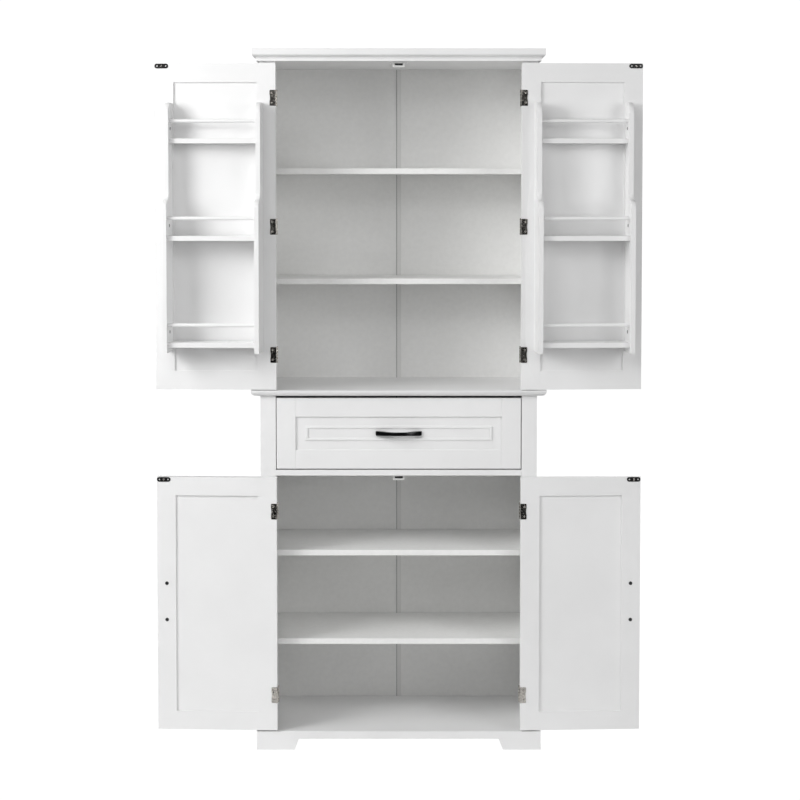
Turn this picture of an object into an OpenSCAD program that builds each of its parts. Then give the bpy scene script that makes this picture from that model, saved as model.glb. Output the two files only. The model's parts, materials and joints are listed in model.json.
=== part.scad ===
// Pantry cabinet: two stacked cupboards with a drawer between them.
// Millimetres, +Z up. In the modules X = 0 is the centre line, Y = 0 the front of the
// face frame and Z = 0 the floor. centred() then moves everything back so that the
// origin lies under the middle of the whole cabinet, its doors standing open.

/* [Carcass] */
// Width over the side panels
body_w = 722; // [700:2:760]
// Depth from the face frame's front to the outside of the back
body_d = 372.5; // [360:0.5:400]
// Thickness of the boards
board_t = 15; // [14:0.5:16]
// Width of a face frame stile
stile_w = 40; // [38:1:44]
// Thickness of the back panels
back_t = 3; // [2.5:0.5:3]
// Width of the strip that joins the two back panels
joint_strip_w = 13; // [10:1:20]

/* [Heights] */
// Height of the plinth, level with the top of the bottom panel
plinth_h = 49; // [45:1:52]
// Underside of the board between the lower cupboard and the drawer
divider_z = 722; // [722:1:724]
// Underside of the ledge
ledge_z = 932; // [931:0.5:933]
// Underside of the top panel
ceiling_z = 1800; // [1800:1:1830]

/* [Crown, ledge and plinth] */
// Thickness of the crown board
crown_t = 16.5; // [12:0.5:20]
// Overhang of the crown board at each side
crown_side = 18; // [17:0.5:24]
// Overhang of the crown board at the front
crown_front = 28; // [24:0.5:32]
// Overhang of the ledge at each side
ledge_side = 24; // [16:0.5:28]
// Overhang of the ledge at the front
ledge_front = 18.5; // [15:0.5:20]
// Radius of the ovolo under the ledge's edge
ledge_ovolo = 13; // [8:0.5:14]
// Thickness of the plinth's side boards
plinth_side = 11.5; // [9:0.5:14]
// Thickness of the plinth's front board
plinth_front_t = 15; // [12:0.5:15]
// Width of a foot at the floor
foot_w = 99; // [80:1:130]
// Extra width of a foot at its top
foot_flare = 11.5; // [5:0.5:20]
// Height of the cut-out between the feet
foot_h = 29; // [20:1:32]

/* [Shelves] */
// Undersides of the upper shelves
upper_shelf_z = [1217.5, 1510.4]; // [1120:0.1:1640]
// Undersides of the lower shelves
lower_shelf_z = [269.8, 505.6]; // [120:0.1:640]
// Front edge of the upper shelves, behind the door racks
upper_shelf_y = 130; // [126:1:180]
// Front edge of the lower shelves
lower_shelf_y = 34; // [24:1:80]
// Radius of a shelf pin
shelf_pin_r = 2.5; // [2:0.5:3]

/* [Doors] */
// Width of a door
door_w = 314.2; // [314:0.1:314.4]
// Thickness of a door
door_t = 15; // [15:0.5:16]
// Width of a door's stiles and rails
frame_w = 49; // [46:0.5:55]
// Thickness of a door's sunk panel
panel_t = 5; // [4:0.5:6]
// Depth of the groove that holds the panel
groove_d = 8; // [6:0.5:10]
// Bottom of the upper doors
upper_door_z = 949; // [948.5:0.5:953]
// Height of the upper doors
upper_door_h = 845.5; // [840:0.5:847]
// Bottom of the lower doors
lower_door_z = 53; // [52.5:0.5:54.5]
// Height of the lower doors
lower_door_h = 667; // [660:1:668]
// How far the doors stand open, in degrees
open_deg = 183; // [180:0.5:184]

/* [Hinges, catches and pulls] */
// Distance of the hinge line from the centre line
hinge_x = 316.5; // [316.4:0.1:316.6]
// Distance of the hinge line in front of the face frame
hinge_out = 3; // [3:0.1:3.4]
// Length of a hinge
hinge_len = 41; // [36:1:50]
// Heights of the upper doors' hinges
upper_hinges = [1040, 1372.5, 1705]; // [1030:0.5:1715]
// Heights of the lower doors' hinges
lower_hinges = [146.5, 630.5]; // [140:0.5:640]
// Thickness of the hinge metal
leaf_t = 1.2; // [1:0.1:1.2]
// Width of a hinge leaf on the door's inner face
leaf_w = 15; // [13:0.5:20]
// Length of a strike plate
strike_l = 35.6; // [30:0.2:40]
// Height of a strike plate
strike_w = 12; // [10:0.5:14]
// Length of a pull
pull_l = 120.5; // [116:0.5:130]
// Distance between a pull's screws
pull_pitch = 96; // [96:1:100]
// How far a pull stands out
pull_out = 28; // [24:0.5:32]
// Distance of a door pull from the door's free edge
pull_inset = 25.5; // [24:0.5:27]
// Height of the pulls on the upper doors
upper_pull_z = 1180; // [1120:5:1500]
// Height of the pulls on the lower doors
lower_pull_z = 391.3; // [240:0.1:600]

/* [Door racks] */
// Underside of a rack
rack_z = 1050; // [1040:1:1060]
// Height of a rack
rack_h = 642; // [620:1:660]
// Distance of a rack from the door's edges
rack_inset = 33; // [32:0.5:40]
// Thickness of a rack's sides
rack_side_t = 12; // [10:0.5:15]
// Depth of a rack below its step
rack_d = 100; // [80:1:104]
// Depth of a rack above its step
rack_top_d = 60; // [50:1:66]
// Height of the middle of the step above the rack's underside
rack_step_z = 391; // [350:1:460]
// Undersides of the rack's shelves above the rack's underside
rack_shelf_z = [14, 287.5, 537]; // [10:0.5:560]
// Thickness of the rack's shelves
rack_shelf_t = 12.5; // [10:0.5:15]
// Height of a rail's centre above its shelf
rail_z = 45; // [35:1:60]
// Radius of a rail
rail_r = 4.7; // [4:0.1:6]
// Distance of shelves and rails behind the front edge of the sides
rack_setback = 14; // [8:1:20]

/* [Drawer] */
// Bottom of the drawer front
drawer_z = 740; // [739:0.5:742]
// Height of the drawer front
drawer_h = 185.5; // [182:0.5:187]
// Gap at each side of the drawer front
drawer_gap = 2; // [1.5:0.1:4]
// Width of the drawer front's stiles and rails
drawer_frame_w = 49.5; // [44:0.5:55]
// Width over the bead on the drawer's panel
bead_l = 487; // [440:1:500]
// Height over the bead
bead_h = 38; // [32:0.5:60]
// Width of the bead
bead_w = 6.5; // [5:0.5:8]
// Outside width of the drawer box
box_w = 612; // [600:2:612]
// Outside depth of the drawer box
box_d = 300; // [250:5:330]
// Height of the drawer box
box_h = 110; // [90:2:130]
// Thickness of the drawer box's walls
box_t = 12; // [10:1:15]
// Thickness of the drawer's bottom
box_floor_t = 5; // [3:0.5:6]

/* [Hidden] */

$fn = 48;
past = 1; // how far a cutting tool runs past the face that it cuts
running = 0.05; // clearance round pins and screws
slip = 0.3; // clearance between pieces that pass each other
butt = 0.02; // hairline between butted pieces that share a node

paint = [0.93, 0.93, 0.92];
black_metal = [0.05, 0.05, 0.05];
nickel = [0.35, 0.33, 0.3];
steel = [0.7, 0.7, 0.7];
plastic = [0.95, 0.95, 0.95];
box_paint = [0.9, 0.9, 0.88];
strip_grey = [0.8, 0.8, 0.79];

upper_door = [upper_door_z, upper_door_h];
lower_door = [lower_door_z, lower_door_h];
half_w = body_w / 2;
inner_w = half_w - board_t;
opening_w = half_w - stile_w;
back_y = body_d - back_t;
ledge_top = ledge_z + board_t;
top_z = ceiling_z + board_t;
strip_t = 1.5; // thickness of the joint strip's face
board_back = back_y - strip_t - 0.5; // back edge of the boards inside
edge_gap = 0.7; // hinge line to the door's edge
knuckle_r = 2.4;
pin_r = 1.2;
screw_r = 1.5;
screw_l = 10;
pilot_l = screw_l + 1; // depth of a pilot hole
hinge_head_r = 2.7;
screw_head_t = 0.9;
taper = 0.8; // width of a screw head's face as a part of its base
slot_w = 0.8; // width of the cross in a screw's head
bolt_r = 2;
bolt_head_r = 4.75;
bolt_head_t = 1.6;
bolt_grip = 8; // how far a bolt reaches into a pull or a rack
knuckles = 5;
pin_l = 16; // length of a shelf pin
pin_inset = 40; // shelf pins from a shelf's front and from the back

// The rack's front corner nearest the hinge reaches furthest forward
reach_x = edge_gap + rack_inset;
reach_y = hinge_out + door_t + rack_d;
front_reach = -hinge_out - sin(open_deg) * reach_x + cos(open_deg) * reach_y;
shift_y = -(front_reach + body_d) / 2;

module centred() translate([0, shift_y, 0]) children();

// A box between two corners
module span(a, b) translate(a) cube(b - a);

module both_sides() {
    children();
    mirror([1, 0, 0]) children();
}

module round_rect(w, h, r) {
    square([w - 2 * r, h], center = true);
    square([w, h - 2 * r], center = true);
    for (x = [-1, 1], y = [-1, 1])
        translate([x * (w / 2 - r), y * (h / 2 - r)]) circle(r);
}

// A screw along +Y: the head on the face at y = 0, the shank behind it
module screw(r, head_r, head_t, len) {
    rotate([-90, 0, 0]) {
        cylinder(r = r, h = len);
        difference() {
            translate([0, 0, -head_t]) cylinder(r1 = head_r * taper, r2 = head_r, h = head_t);
            for (a = [0, 90]) rotate(a)
                translate([-head_r / 2, -slot_w / 2, -head_t - past])
                    cube([head_r, slot_w, past + head_t / 2]);
        }
    }
}

module hole(r, len) rotate([-90, 0, 0]) translate([0, 0, -past]) cylinder(r = r, h = len + past);

// ---------------------------------------------------------------- carcass

module side_panel(z0, z1, shelf_zs, shelf_y) {
    difference() {
        span([inner_w, board_t, z0], [half_w, body_d, z1]);
        for (z = shelf_zs, y = pin_ys(shelf_y))
            translate([inner_w - past, y, z - shelf_pin_r]) rotate([0, 90, 0])
                cylinder(r = shelf_pin_r + running, h = past + pin_l / 2 + slip);
    }
}

function pin_ys(shelf_y) = [shelf_y + pin_inset, board_back - pin_inset];

module upper_sides() color(paint) both_sides()
    side_panel(ledge_top, ceiling_z, upper_shelf_z, upper_shelf_y);

module lower_sides() color(paint) both_sides()
    side_panel(0, ledge_z, lower_shelf_z, lower_shelf_y);

// Pilot holes for the hinges' screws, in the edge of a stile
module stile(z0, z1, hinge_zs) {
    difference() {
        span([opening_w, 0, z0], [half_w, board_t, z1]);
        for (z = hinge_zs, s = [-1, 1])
            translate([opening_w - past, board_t / 2, z + s * screw_pitch / 2])
                rotate([0, 90, 0]) cylinder(r = screw_r + running, h = past + pilot_l);
    }
}

screw_pitch = hinge_len * 0.6;

module upper_stiles() color(paint) both_sides() stile(ledge_top, ceiling_z, upper_hinges);

module lower_stiles() color(paint) both_sides() stile(plinth_h, ledge_z, lower_hinges);

// A board with the same edge profile on its front and both ends, mitred at the corners.
// The child is the profile of one edge, drawn with x outwards and y up.
module edged(ends_x, front_y) {
    reach = 2 * board_t; // more than the profile stands out
    intersection() {
        rotate([90, 0, 90]) translate([0, 0, -ends_x - reach])
            linear_extrude(2 * (ends_x + reach)) {
                mirror([1, 0]) translate([-front_y, 0]) children();
                translate([front_y, 0]) square([body_d - front_y, board_t]);
            }
        translate([0, body_d, 0]) rotate([90, 0, 0])
            linear_extrude(body_d - front_y + reach) {
                translate([ends_x, 0]) children();
                mirror([1, 0]) translate([ends_x, 0]) children();
                translate([-ends_x, 0]) square([2 * ends_x, board_t]);
            }
    }
}

// Ovolo: square lip above a quarter round
module ovolo_profile() {
    lip = board_t - ledge_ovolo;
    translate([0, ledge_ovolo]) square([ledge_ovolo, lip]);
    intersection() {
        translate([0, ledge_ovolo]) circle(ledge_ovolo);
        square(ledge_ovolo);
    }
}

module ledge_board() color(paint) translate([0, 0, ledge_z])
    edged(half_w + ledge_side - ledge_ovolo, -ledge_front + ledge_ovolo)
        ovolo_profile();

module crown_board() color(paint)
    span([-half_w - crown_side, -crown_front, top_z],
        [half_w + crown_side, body_d, top_z + crown_t]);

cove_foot = 7.5; // thickness of the moulding at its lower edge
cove_r = 9; // radius of the cove
cove_lip = 2; // square lip under the crown board
front_pad = 6.5; // extra thickness of the front moulding

module cove_profile() {
    square([cove_foot, board_t]);
    difference() {
        translate([cove_foot - butt, board_t - cove_lip - cove_r])
            square([cove_r + butt, cove_lip + cove_r]);
        translate([cove_foot + cove_r, board_t - cove_lip - cove_r]) circle(cove_r);
    }
}

module crown_moulding() color(paint) translate([0, 0, ceiling_z])
    difference() {
        edged(half_w, -front_pad) cove_profile();
        span([-half_w, 0, -past], [half_w, body_d + past, board_t + past]);
    }

module top_panel() color(paint)
    span([-half_w, 0, ceiling_z], [half_w, body_d, top_z]);

// A board between the side panels whose front is notched round the stiles
module notched_board(z) {
    span([-inner_w, board_t, z], [inner_w, board_back, z + board_t]);
    span([-opening_w, 0, z], [opening_w, board_t + past, z + board_t]);
}

module divider_board() color(paint) notched_board(divider_z);

module bottom_panel() color(paint) notched_board(plinth_h - board_t);

module plinth() color(paint) {
    w = half_w + plinth_side;
    foot_in = w - foot_w;
    difference() {
        span([-w, -plinth_front_t, 0], [w, 0, plinth_h]);
        rotate([90, 0, 0]) translate([0, 0, -past]) linear_extrude(plinth_front_t + 2 * past)
            polygon([[-foot_in, -past], [foot_in, -past], [foot_in, 0],
                [foot_in - foot_flare, foot_h], [-foot_in + foot_flare, foot_h], [-foot_in, 0]]);
    }
    both_sides() span([half_w, butt, 0], [w, body_d, plinth_h]);
}

tongue = 1; // half the thickness of the strip's tongue

module back_panels() color(paint) both_sides() {
    edge = tongue + slip;
    span([edge, back_y, ledge_top], [inner_w, body_d, ceiling_z]);
    span([edge, back_y, plinth_h - board_t], [inner_w, body_d, ledge_z]);
}

// Strip with a tongue between the two back panels
module joint_strip(z0, z1) {
    span([-joint_strip_w / 2, back_y - strip_t, z0], [joint_strip_w / 2, back_y, z1]);
    span([-tongue, back_y - strip_t / 2, z0], [tongue, body_d, z1]);
}

module back_joint_strips() color(strip_grey) {
    joint_strip(ledge_top, ceiling_z);
    joint_strip(plinth_h, ledge_z);
}

module shelf(z, y) span([-inner_w + slip, y, z], [inner_w - slip, board_back, z + board_t]);

module shelves() color(paint) {
    for (z = upper_shelf_z) shelf(z, upper_shelf_y);
    for (z = lower_shelf_z) shelf(z, lower_shelf_y);
}

module pins_under(zs, shelf_y) both_sides()
    for (z = zs, y = pin_ys(shelf_y))
        translate([inner_w - pin_l / 2, y, z - shelf_pin_r]) rotate([0, 90, 0])
            cylinder(r = shelf_pin_r, h = pin_l);

module shelf_pins() color(steel) {
    pins_under(upper_shelf_z, upper_shelf_y);
    pins_under(lower_shelf_z, lower_shelf_y);
}

// ---------------------------------------------------------------- catches

catch_w = 31;
catch_ears_w = 46;
catch_ear_t = 5;
catch_h = 14;
catch_d = 24;
catch_y = door_t + leaf_t + 0.5; // front of the housing
ear_inset = 3; // ears from the housing's front and back
magnet_w = 21;
magnet_d = 18;
magnet_fit = 0.1;
magnet_out = 0.2; // how far the magnet stands out of its housing
magnet_top = 4.3; // below the board that the catch hangs from
magnet_h = 5;
catch_zs = [ceiling_z, divider_z];

module catch_housing() difference() {
    union() {
        translate([-catch_w / 2, 0, -catch_h]) cube([catch_w, catch_d, catch_h]);
        translate([-catch_ears_w / 2, ear_inset, -catch_ear_t])
            cube([catch_ears_w, catch_d - 2 * ear_inset, catch_ear_t]);
    }
    translate([-magnet_w / 2, -past, -magnet_top - magnet_h])
        cube([magnet_w, magnet_d + past, magnet_h]);
}

module catch_housings() color(plastic)
    for (z = catch_zs) translate([0, catch_y, z]) catch_housing();

module catch_magnets() color(black_metal)
    for (z = catch_zs) translate([0, catch_y, z])
        span([-magnet_w / 2 + magnet_fit, -magnet_out, -magnet_top - magnet_h + magnet_fit],
            [magnet_w / 2 - magnet_fit, magnet_d - magnet_fit, -magnet_top - magnet_fit]);

// ---------------------------------------------------------------- hinges
// Hinge modules have their origin on the hinge line at the middle of the hinge.
// X runs along the door towards its free edge when it is shut, Y into the cabinet.

knuckle_h = hinge_len / knuckles;

module knuckle(i) translate([0, 0, -hinge_len / 2 + i * knuckle_h + slip / 2])
    cylinder(r = knuckle_r, h = knuckle_h - slip);

module barrel_bore() translate([0, 0, -hinge_len])
    cylinder(r = pin_r + running, h = 2 * hinge_len);

// Leaf on the stile's edge, with the odd knuckles
module frame_leaf() {
    jamb = opening_w - hinge_x;
    difference() {
        union() {
            for (i = [1 : 2 : knuckles - 1]) {
                knuckle(i);
                translate([-jamb, -knuckle_r, -hinge_len / 2 + i * knuckle_h + slip / 2])
                    cube([jamb, leaf_t, knuckle_h - slip]);
                translate([-jamb, -knuckle_r, -hinge_len / 2 + i * knuckle_h + slip / 2])
                    cube([leaf_t, hinge_out + knuckle_r, knuckle_h - slip]);
            }
            translate([-jamb, hinge_out, -hinge_len / 2]) cube([leaf_t, door_t - 0.5, hinge_len]);
        }
        barrel_bore();
        for (s = [-1, 1]) translate([-jamb - past, hinge_out + board_t / 2, s * screw_pitch / 2])
            rotate([0, 90, 0]) cylinder(r = screw_r + running, h = leaf_t + 2 * past);
    }
}

// Leaf that wraps round the door's edge onto its inner face, with the even knuckles
module door_leaf() {
    inner = hinge_out + door_t;
    difference() {
        union() {
            for (i = [0 : 2 : knuckles - 1]) {
                knuckle(i);
                translate([edge_gap - leaf_t, 0, -hinge_len / 2 + i * knuckle_h + slip / 2])
                    cube([leaf_t, hinge_out, knuckle_h - slip]);
            }
            translate([edge_gap - leaf_t, hinge_out, -hinge_len / 2])
                cube([leaf_t, door_t, hinge_len]);
            translate([edge_gap, inner, -hinge_len / 2]) intersection() {
                cylinder(r = leaf_t, h = hinge_len);
                translate([-leaf_t, 0, 0]) cube([leaf_t, leaf_t, hinge_len]);
            }
            translate([edge_gap, inner, 0]) rotate([-90, 0, 0]) linear_extrude(leaf_t)
                leaf_outline();
        }
        barrel_bore();
        for (s = [-1, 1]) translate([edge_gap + leaf_screw_x, inner + leaf_t + past, s * screw_pitch / 2])
            rotate([90, 0, 0]) cylinder(r = screw_r + running, h = leaf_t + 2 * past);
    }
}

leaf_screw_x = leaf_w * 0.6;
leaf_corner_r = 2.5;
waist_r = 40;
waist_in = 1.2; // how far the waist cuts into the leaf's far edge

// Face of the door leaf: rounded at its far corners and slightly waisted
module leaf_outline() difference() {
    union() {
        translate([0, -hinge_len / 2]) square([leaf_w - leaf_corner_r, hinge_len]);
        translate([leaf_w / 2, 0]) round_rect(leaf_w, hinge_len, leaf_corner_r);
    }
    translate([leaf_w + waist_r - waist_in, 0]) circle(waist_r);
}

module at_hinges(zs) for (z = zs) translate([0, 0, z]) children();

// Right-hand position of everything on a hinge line, as if its door were shut
module hinge_line() translate([hinge_x, -hinge_out, 0]) mirror([1, 0, 0]) children();

module frame_hinge_leaves() color(nickel) both_sides() hinge_line() {
    at_hinges(upper_hinges) frame_leaf();
    at_hinges(lower_hinges) frame_leaf();
}

cap_h = 1; // height of a pin's caps

// Pin with a tapered cap at each end
module hinge_pin() {
    translate([0, 0, -hinge_len / 2 - cap_h]) cylinder(r = pin_r, h = hinge_len + 2 * cap_h);
    for (s = [0, 1]) mirror([0, 0, s]) translate([0, 0, hinge_len / 2 + slip])
        cylinder(r1 = knuckle_r, r2 = knuckle_r * taper, h = cap_h);
}

module hinge_pins() color(nickel) both_sides() hinge_line() {
    at_hinges(upper_hinges) hinge_pin();
    at_hinges(lower_hinges) hinge_pin();
}

// Screws into the stiles' edges, their heads against the frame leaves
module frame_screws() color(nickel) both_sides()
    for (z = concat(upper_hinges, lower_hinges), s = [-1, 1])
        translate([opening_w - leaf_t, board_t / 2, z + s * screw_pitch / 2]) rotate([0, 0, -90])
            screw(screw_r, hinge_head_r, screw_head_t, screw_l);

// ---------------------------------------------------------------- doors
// Door modules work from the hinge line: X towards the free edge, Y to the inner face.

face_y = hinge_out;
inner_y = hinge_out + door_t;
free_x = edge_gap + door_w;

// side is -1 for a left-hand door and 1 for a right-hand one
module door_at(side) mirror([side > 0 ? 1 : 0, 0, 0])
    translate([-hinge_x, -hinge_out, 0]) rotate([0, 0, -open_deg]) children();

// The stiles and rails as four separate pieces, the rails between the stiles
module stiles_and_rails(w, h, t, member) difference() {
    union() {
        for (x = [0, w - member]) translate([x, 0, 0]) cube([member, t, h]);
        for (z = [0, h - member]) translate([member + butt, 0, z])
            cube([w - 2 * (member + butt), t, member]);
    }
    translate([member - groove_d, (t - panel_t) / 2 - running, member - groove_d])
        cube([w - 2 * member + 2 * groove_d, panel_t + 2 * running, h - 2 * member + 2 * groove_d]);
}

module sunk_panel(w, h, t, member) {
    fit = groove_d - 0.5;
    translate([member - fit, (t - panel_t) / 2, member - fit])
        cube([w - 2 * member + 2 * fit, panel_t, h - 2 * member + 2 * fit]);
}

module door_frame(door, hinges, pull_z) color(paint) difference() {
    translate([edge_gap, face_y, door[0]]) stiles_and_rails(door_w, door[1], door_t, frame_w);
    for (z = hinges, s = [-1, 1])
        translate([edge_gap + leaf_screw_x, inner_y, z + s * screw_pitch / 2])
            rotate([0, 0, 180]) hole(screw_r + running, pilot_l);
    translate([strike_x, inner_y, strike_z(door)])
        rotate([0, 0, 180]) hole(screw_r + running, pilot_l);
    for (s = [-1, 1]) translate([free_x - pull_inset, face_y, pull_z + s * pull_pitch / 2])
        hole(bolt_r + running, door_t + past);
}

function strike_z(door) = door[0] + door[1] - 1 - strike_w / 2; // just under the door's top

module door_panel(door) color(paint)
    translate([edge_gap, face_y, door[0]]) sunk_panel(door_w, door[1], door_t, frame_w);

module hinge_leaves(hinges) color(nickel) at_hinges(hinges) door_leaf();

// Screws of the hinges, the strike plate and the pull, and the racks' connectors
module door_screws(door, hinges, pull_z, racked) {
    color(nickel) {
        for (z = hinges, s = [-1, 1])
            translate([edge_gap + leaf_screw_x, inner_y + leaf_t, z + s * screw_pitch / 2])
                rotate([0, 0, 180]) screw(screw_r, hinge_head_r, screw_head_t, screw_l);
        translate([strike_x, inner_y + strike_t, strike_z(door)])
            rotate([0, 0, 180]) screw(screw_r, strike_head_r, strike_head_t, screw_l);
    }
    color(black_metal) {
        for (s = [-1, 1]) translate([free_x - pull_inset, inner_y, pull_z + s * pull_pitch / 2])
            rotate([0, 0, 180]) screw(bolt_r, bolt_head_r, bolt_head_t, door_t + bolt_grip);
        if (racked) rack_connectors();
    }
}

strike_t = 1.2;
strike_x = free_x - strike_l / 2 - 0.4;
strike_head_r = 2.9;
strike_head_t = 0.5;
strike_dimple_x = 11.3;
strike_dimple_r = 2;

module strike_plate(door) color(black_metal)
    translate([strike_x, inner_y, strike_z(door)]) rotate([-90, 0, 0])
        linear_extrude(strike_t) difference() {
            union() {
                square([strike_l - strike_w, strike_w], center = true);
                for (s = [-1, 1]) translate([s * (strike_l - strike_w) / 2, 0]) circle(strike_w / 2);
            }
            circle(screw_r + running);
            for (s = [-1, 1]) translate([s * strike_dimple_x, 0]) circle(strike_dimple_r);
        }

// ---------------------------------------------------------------- pulls
// A pull lies along X on a face at y = 0 and stands out towards -Y.

pull_end_h = 12; // height at the flared ends
pull_mid_h = 9.5; // height at the middle
pull_foot_in = 40; // inner end of a foot
pull_end_t = 5; // thickness at the tips
pull_bar_t = 6; // thickness at the middle

function arc_r(half_chord, rise) = (half_chord * half_chord + rise * rise) / (2 * rise);

// The arch seen from above
module pull_arch() {
    outer_rise = pull_out - pull_end_t;
    inner_rise = pull_out - pull_bar_t;
    outer_r = arc_r(pull_l / 2, outer_rise);
    inner_r = arc_r(pull_foot_in, inner_rise);
    difference() {
        intersection() {
            translate([-pull_l / 2, -pull_out]) square([pull_l, pull_out]);
            translate([0, outer_r - pull_out]) circle(outer_r, $fn = 360);
        }
        translate([0, inner_r - inner_rise]) circle(inner_r, $fn = 360);
    }
}

// The front view, flared towards both tips
module pull_front() {
    foot = pull_foot_in * 0.9;
    tip = pull_l / 2 + past;
    mid = pull_mid_h / 2;
    end = pull_end_h / 2;
    polygon([[-tip, -end], [-foot, -mid], [foot, -mid], [tip, -end],
        [tip, end], [foot, mid], [-foot, mid], [-tip, end]]);
}

module pull() difference() {
    intersection() {
        translate([0, 0, -pull_end_h]) linear_extrude(2 * pull_end_h) pull_arch();
        translate([0, past, 0]) rotate([90, 0, 0]) linear_extrude(pull_out + 2 * past) pull_front();
    }
    for (s = [-1, 1]) translate([s * pull_pitch / 2, past, 0]) rotate([90, 0, 0])
        cylinder(r = bolt_r + running, h = bolt_grip + slip + past);
}

module door_pull(z) color(black_metal)
    translate([free_x - pull_inset, face_y, z]) rotate([0, 90, 0]) pull();

// ---------------------------------------------------------------- racks on the upper doors

rack_side_xs = [edge_gap + rack_inset, free_x - rack_inset - rack_side_t];
rack_step_r = (rack_d - rack_top_d) / 2;
rack_corner_r = 28;
rail_socket = 6; // depth of a rail's socket in a side
rail_span = rack_side_xs[1] - rack_side_xs[0] - rack_side_t;

function rack_depth(z) = z < rack_step_z ? rack_d : rack_top_d;

// Outline of a rack's side: x is the depth from the door and y the height
module rack_side_outline() difference() {
    union() {
        square([rack_top_d, rack_h - rack_corner_r]);
        square([rack_top_d - rack_corner_r, rack_h]);
        translate([rack_top_d - rack_corner_r, rack_h - rack_corner_r]) circle(rack_corner_r);
        square([rack_d, rack_step_z - rack_step_r]);
        translate([rack_d - rack_step_r, rack_step_z - rack_step_r]) circle(rack_step_r);
        translate([0, rack_step_z - rack_step_r - 1]) square([rack_d - rack_step_r, rack_step_r + 1]);
        translate([0, rack_step_z - 1]) square([rack_top_d + rack_step_r, rack_step_r + 1]);
    }
    translate([rack_top_d + rack_step_r, rack_step_z + rack_step_r]) circle(rack_step_r);
}

module on_rack_front(z, back) translate([0, inner_y + rack_depth(z) - rack_setback - back, rack_z + z])
    children();

module rack_sides() color(paint) difference() {
    for (x = rack_side_xs) translate([x, inner_y, rack_z]) rotate([90, 0, 90])
        linear_extrude(rack_side_t) rack_side_outline();
    for (z = rack_shelf_z) on_rack_front(z + rack_shelf_t + rail_z, rail_r)
        translate([rack_side_xs[0] + rack_side_t - rail_socket, 0, 0]) rotate([0, 90, 0])
            cylinder(r = rail_r + running, h = rail_span + 2 * rail_socket);
    connector_holes();
}

connector_z = 26; // above a rack's shelf
connector_head_t = 1;

module at_connectors() for (z = rack_shelf_z)
    translate([0, inner_y + rack_depth(z) / 2, rack_z + z + rack_shelf_t + connector_z]) {
        translate([rack_side_xs[0] + rack_side_t, 0, 0]) rotate([0, 0, 90]) children();
        translate([rack_side_xs[1], 0, 0]) rotate([0, 0, -90]) children();
    }

module connector_holes() at_connectors() hole(bolt_r + running, bolt_grip + slip);

module rack_connectors() at_connectors() screw(bolt_r, bolt_head_r, connector_head_t, bolt_grip);

module rack_shelves() color(paint) for (z = rack_shelf_z)
    span([rack_side_xs[0] + rack_side_t, inner_y, rack_z + z],
        [rack_side_xs[1], inner_y + rack_depth(z) - rack_setback, rack_z + z + rack_shelf_t]);

module rack_rails() color(paint) for (z = rack_shelf_z)
    on_rack_front(z + rack_shelf_t + rail_z, rail_r)
        translate([rack_side_xs[0] + rack_side_t - rail_socket + slip, 0, 0]) rotate([0, 90, 0])
            cylinder(r = rail_r, h = rail_span + 2 * (rail_socket - slip));

// ---------------------------------------------------------------- drawer

front_w = 2 * (opening_w - drawer_gap);
box_z = drawer_z + 17;
box_back = door_t + box_d;
box_groove = 6; // depth of the groove for the drawer's bottom
box_floor_z = box_z + 8;
pull_z = drawer_z + drawer_h / 2;
panel_y = (door_t - panel_t) / 2; // front of the sunk panel
bead_t = 3;
bead_round = 4; // radius of the bead's face
runner_h = 36;
runner_z = box_z + box_h / 2;
runner_len = 290;
runner_t = 1.4;
cleat_x = opening_w - 2;
cleat_h = 60;
runner_y = door_t + 3; // just behind the drawer's front

module drawer_front_frame() color(paint)
    translate([-front_w / 2, 0, drawer_z]) stiles_and_rails(front_w, drawer_h, door_t, drawer_frame_w);

module drawer_bolts(y) for (s = [-1, 1]) translate([s * pull_pitch / 2, y, pull_z]) children();

module drawer_front_panel() color(paint) difference() {
    translate([-front_w / 2, 0, drawer_z]) sunk_panel(front_w, drawer_h, door_t, drawer_frame_w);
    drawer_bolts(0) hole(bolt_r + running, door_t);
}

// Four mitred strips with a rounded face
module bead_strip(len, w) {
    intersection() {
        rotate([90, 0, 90]) translate([0, 0, -len / 2]) linear_extrude(len) intersection() {
            translate([-bead_t, 0]) square([bead_t, w]);
            translate([0, w / 2]) circle(bead_round);
        }
        rotate([90, 0, 0]) linear_extrude(bead_t)
            polygon([[-len / 2 + butt, 0], [len / 2 - butt, 0],
                [len / 2 - w - butt, w], [-len / 2 + w + butt, w]]);
    }
}

module drawer_front_bead() color(paint) translate([0, panel_y, pull_z]) {
    for (s = [0, 180]) rotate([0, s, 0]) {
        translate([0, 0, -bead_h / 2]) bead_strip(bead_l, bead_w);
        rotate([0, 90, 0]) translate([0, 0, -bead_l / 2]) bead_strip(bead_h, bead_w);
    }
}

module drawer_box_walls() color(box_paint) difference() {
    w = box_w / 2;
    union() {
        both_sides() span([w - box_t, door_t, box_z], [w, box_back, box_z + box_h]);
        for (y = [door_t, box_back - box_t])
            span([-w + box_t + butt, y, box_z], [w - box_t - butt, y + box_t, box_z + box_h]);
    }
    in = box_t - box_groove;
    span([-w + in, door_t + in, box_floor_z - running],
        [w - in, box_back - in, box_floor_z + box_floor_t + running]);
    drawer_bolts(door_t) hole(bolt_r + running, box_t + past);
}

module drawer_bottom() color(box_paint) {
    in = box_t - box_groove + slip;
    span([-box_w / 2 + in, door_t + in, box_floor_z],
        [box_w / 2 - in, box_back - in, box_floor_z + box_floor_t]);
}

module drawer_pull() color(black_metal) translate([0, panel_y, pull_z]) pull();

module drawer_screws() color(black_metal)
    drawer_bolts(door_t + box_t) rotate([0, 0, 180])
        screw(bolt_r, bolt_head_r, bolt_head_t, door_t + box_t - panel_y + bolt_grip);

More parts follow.
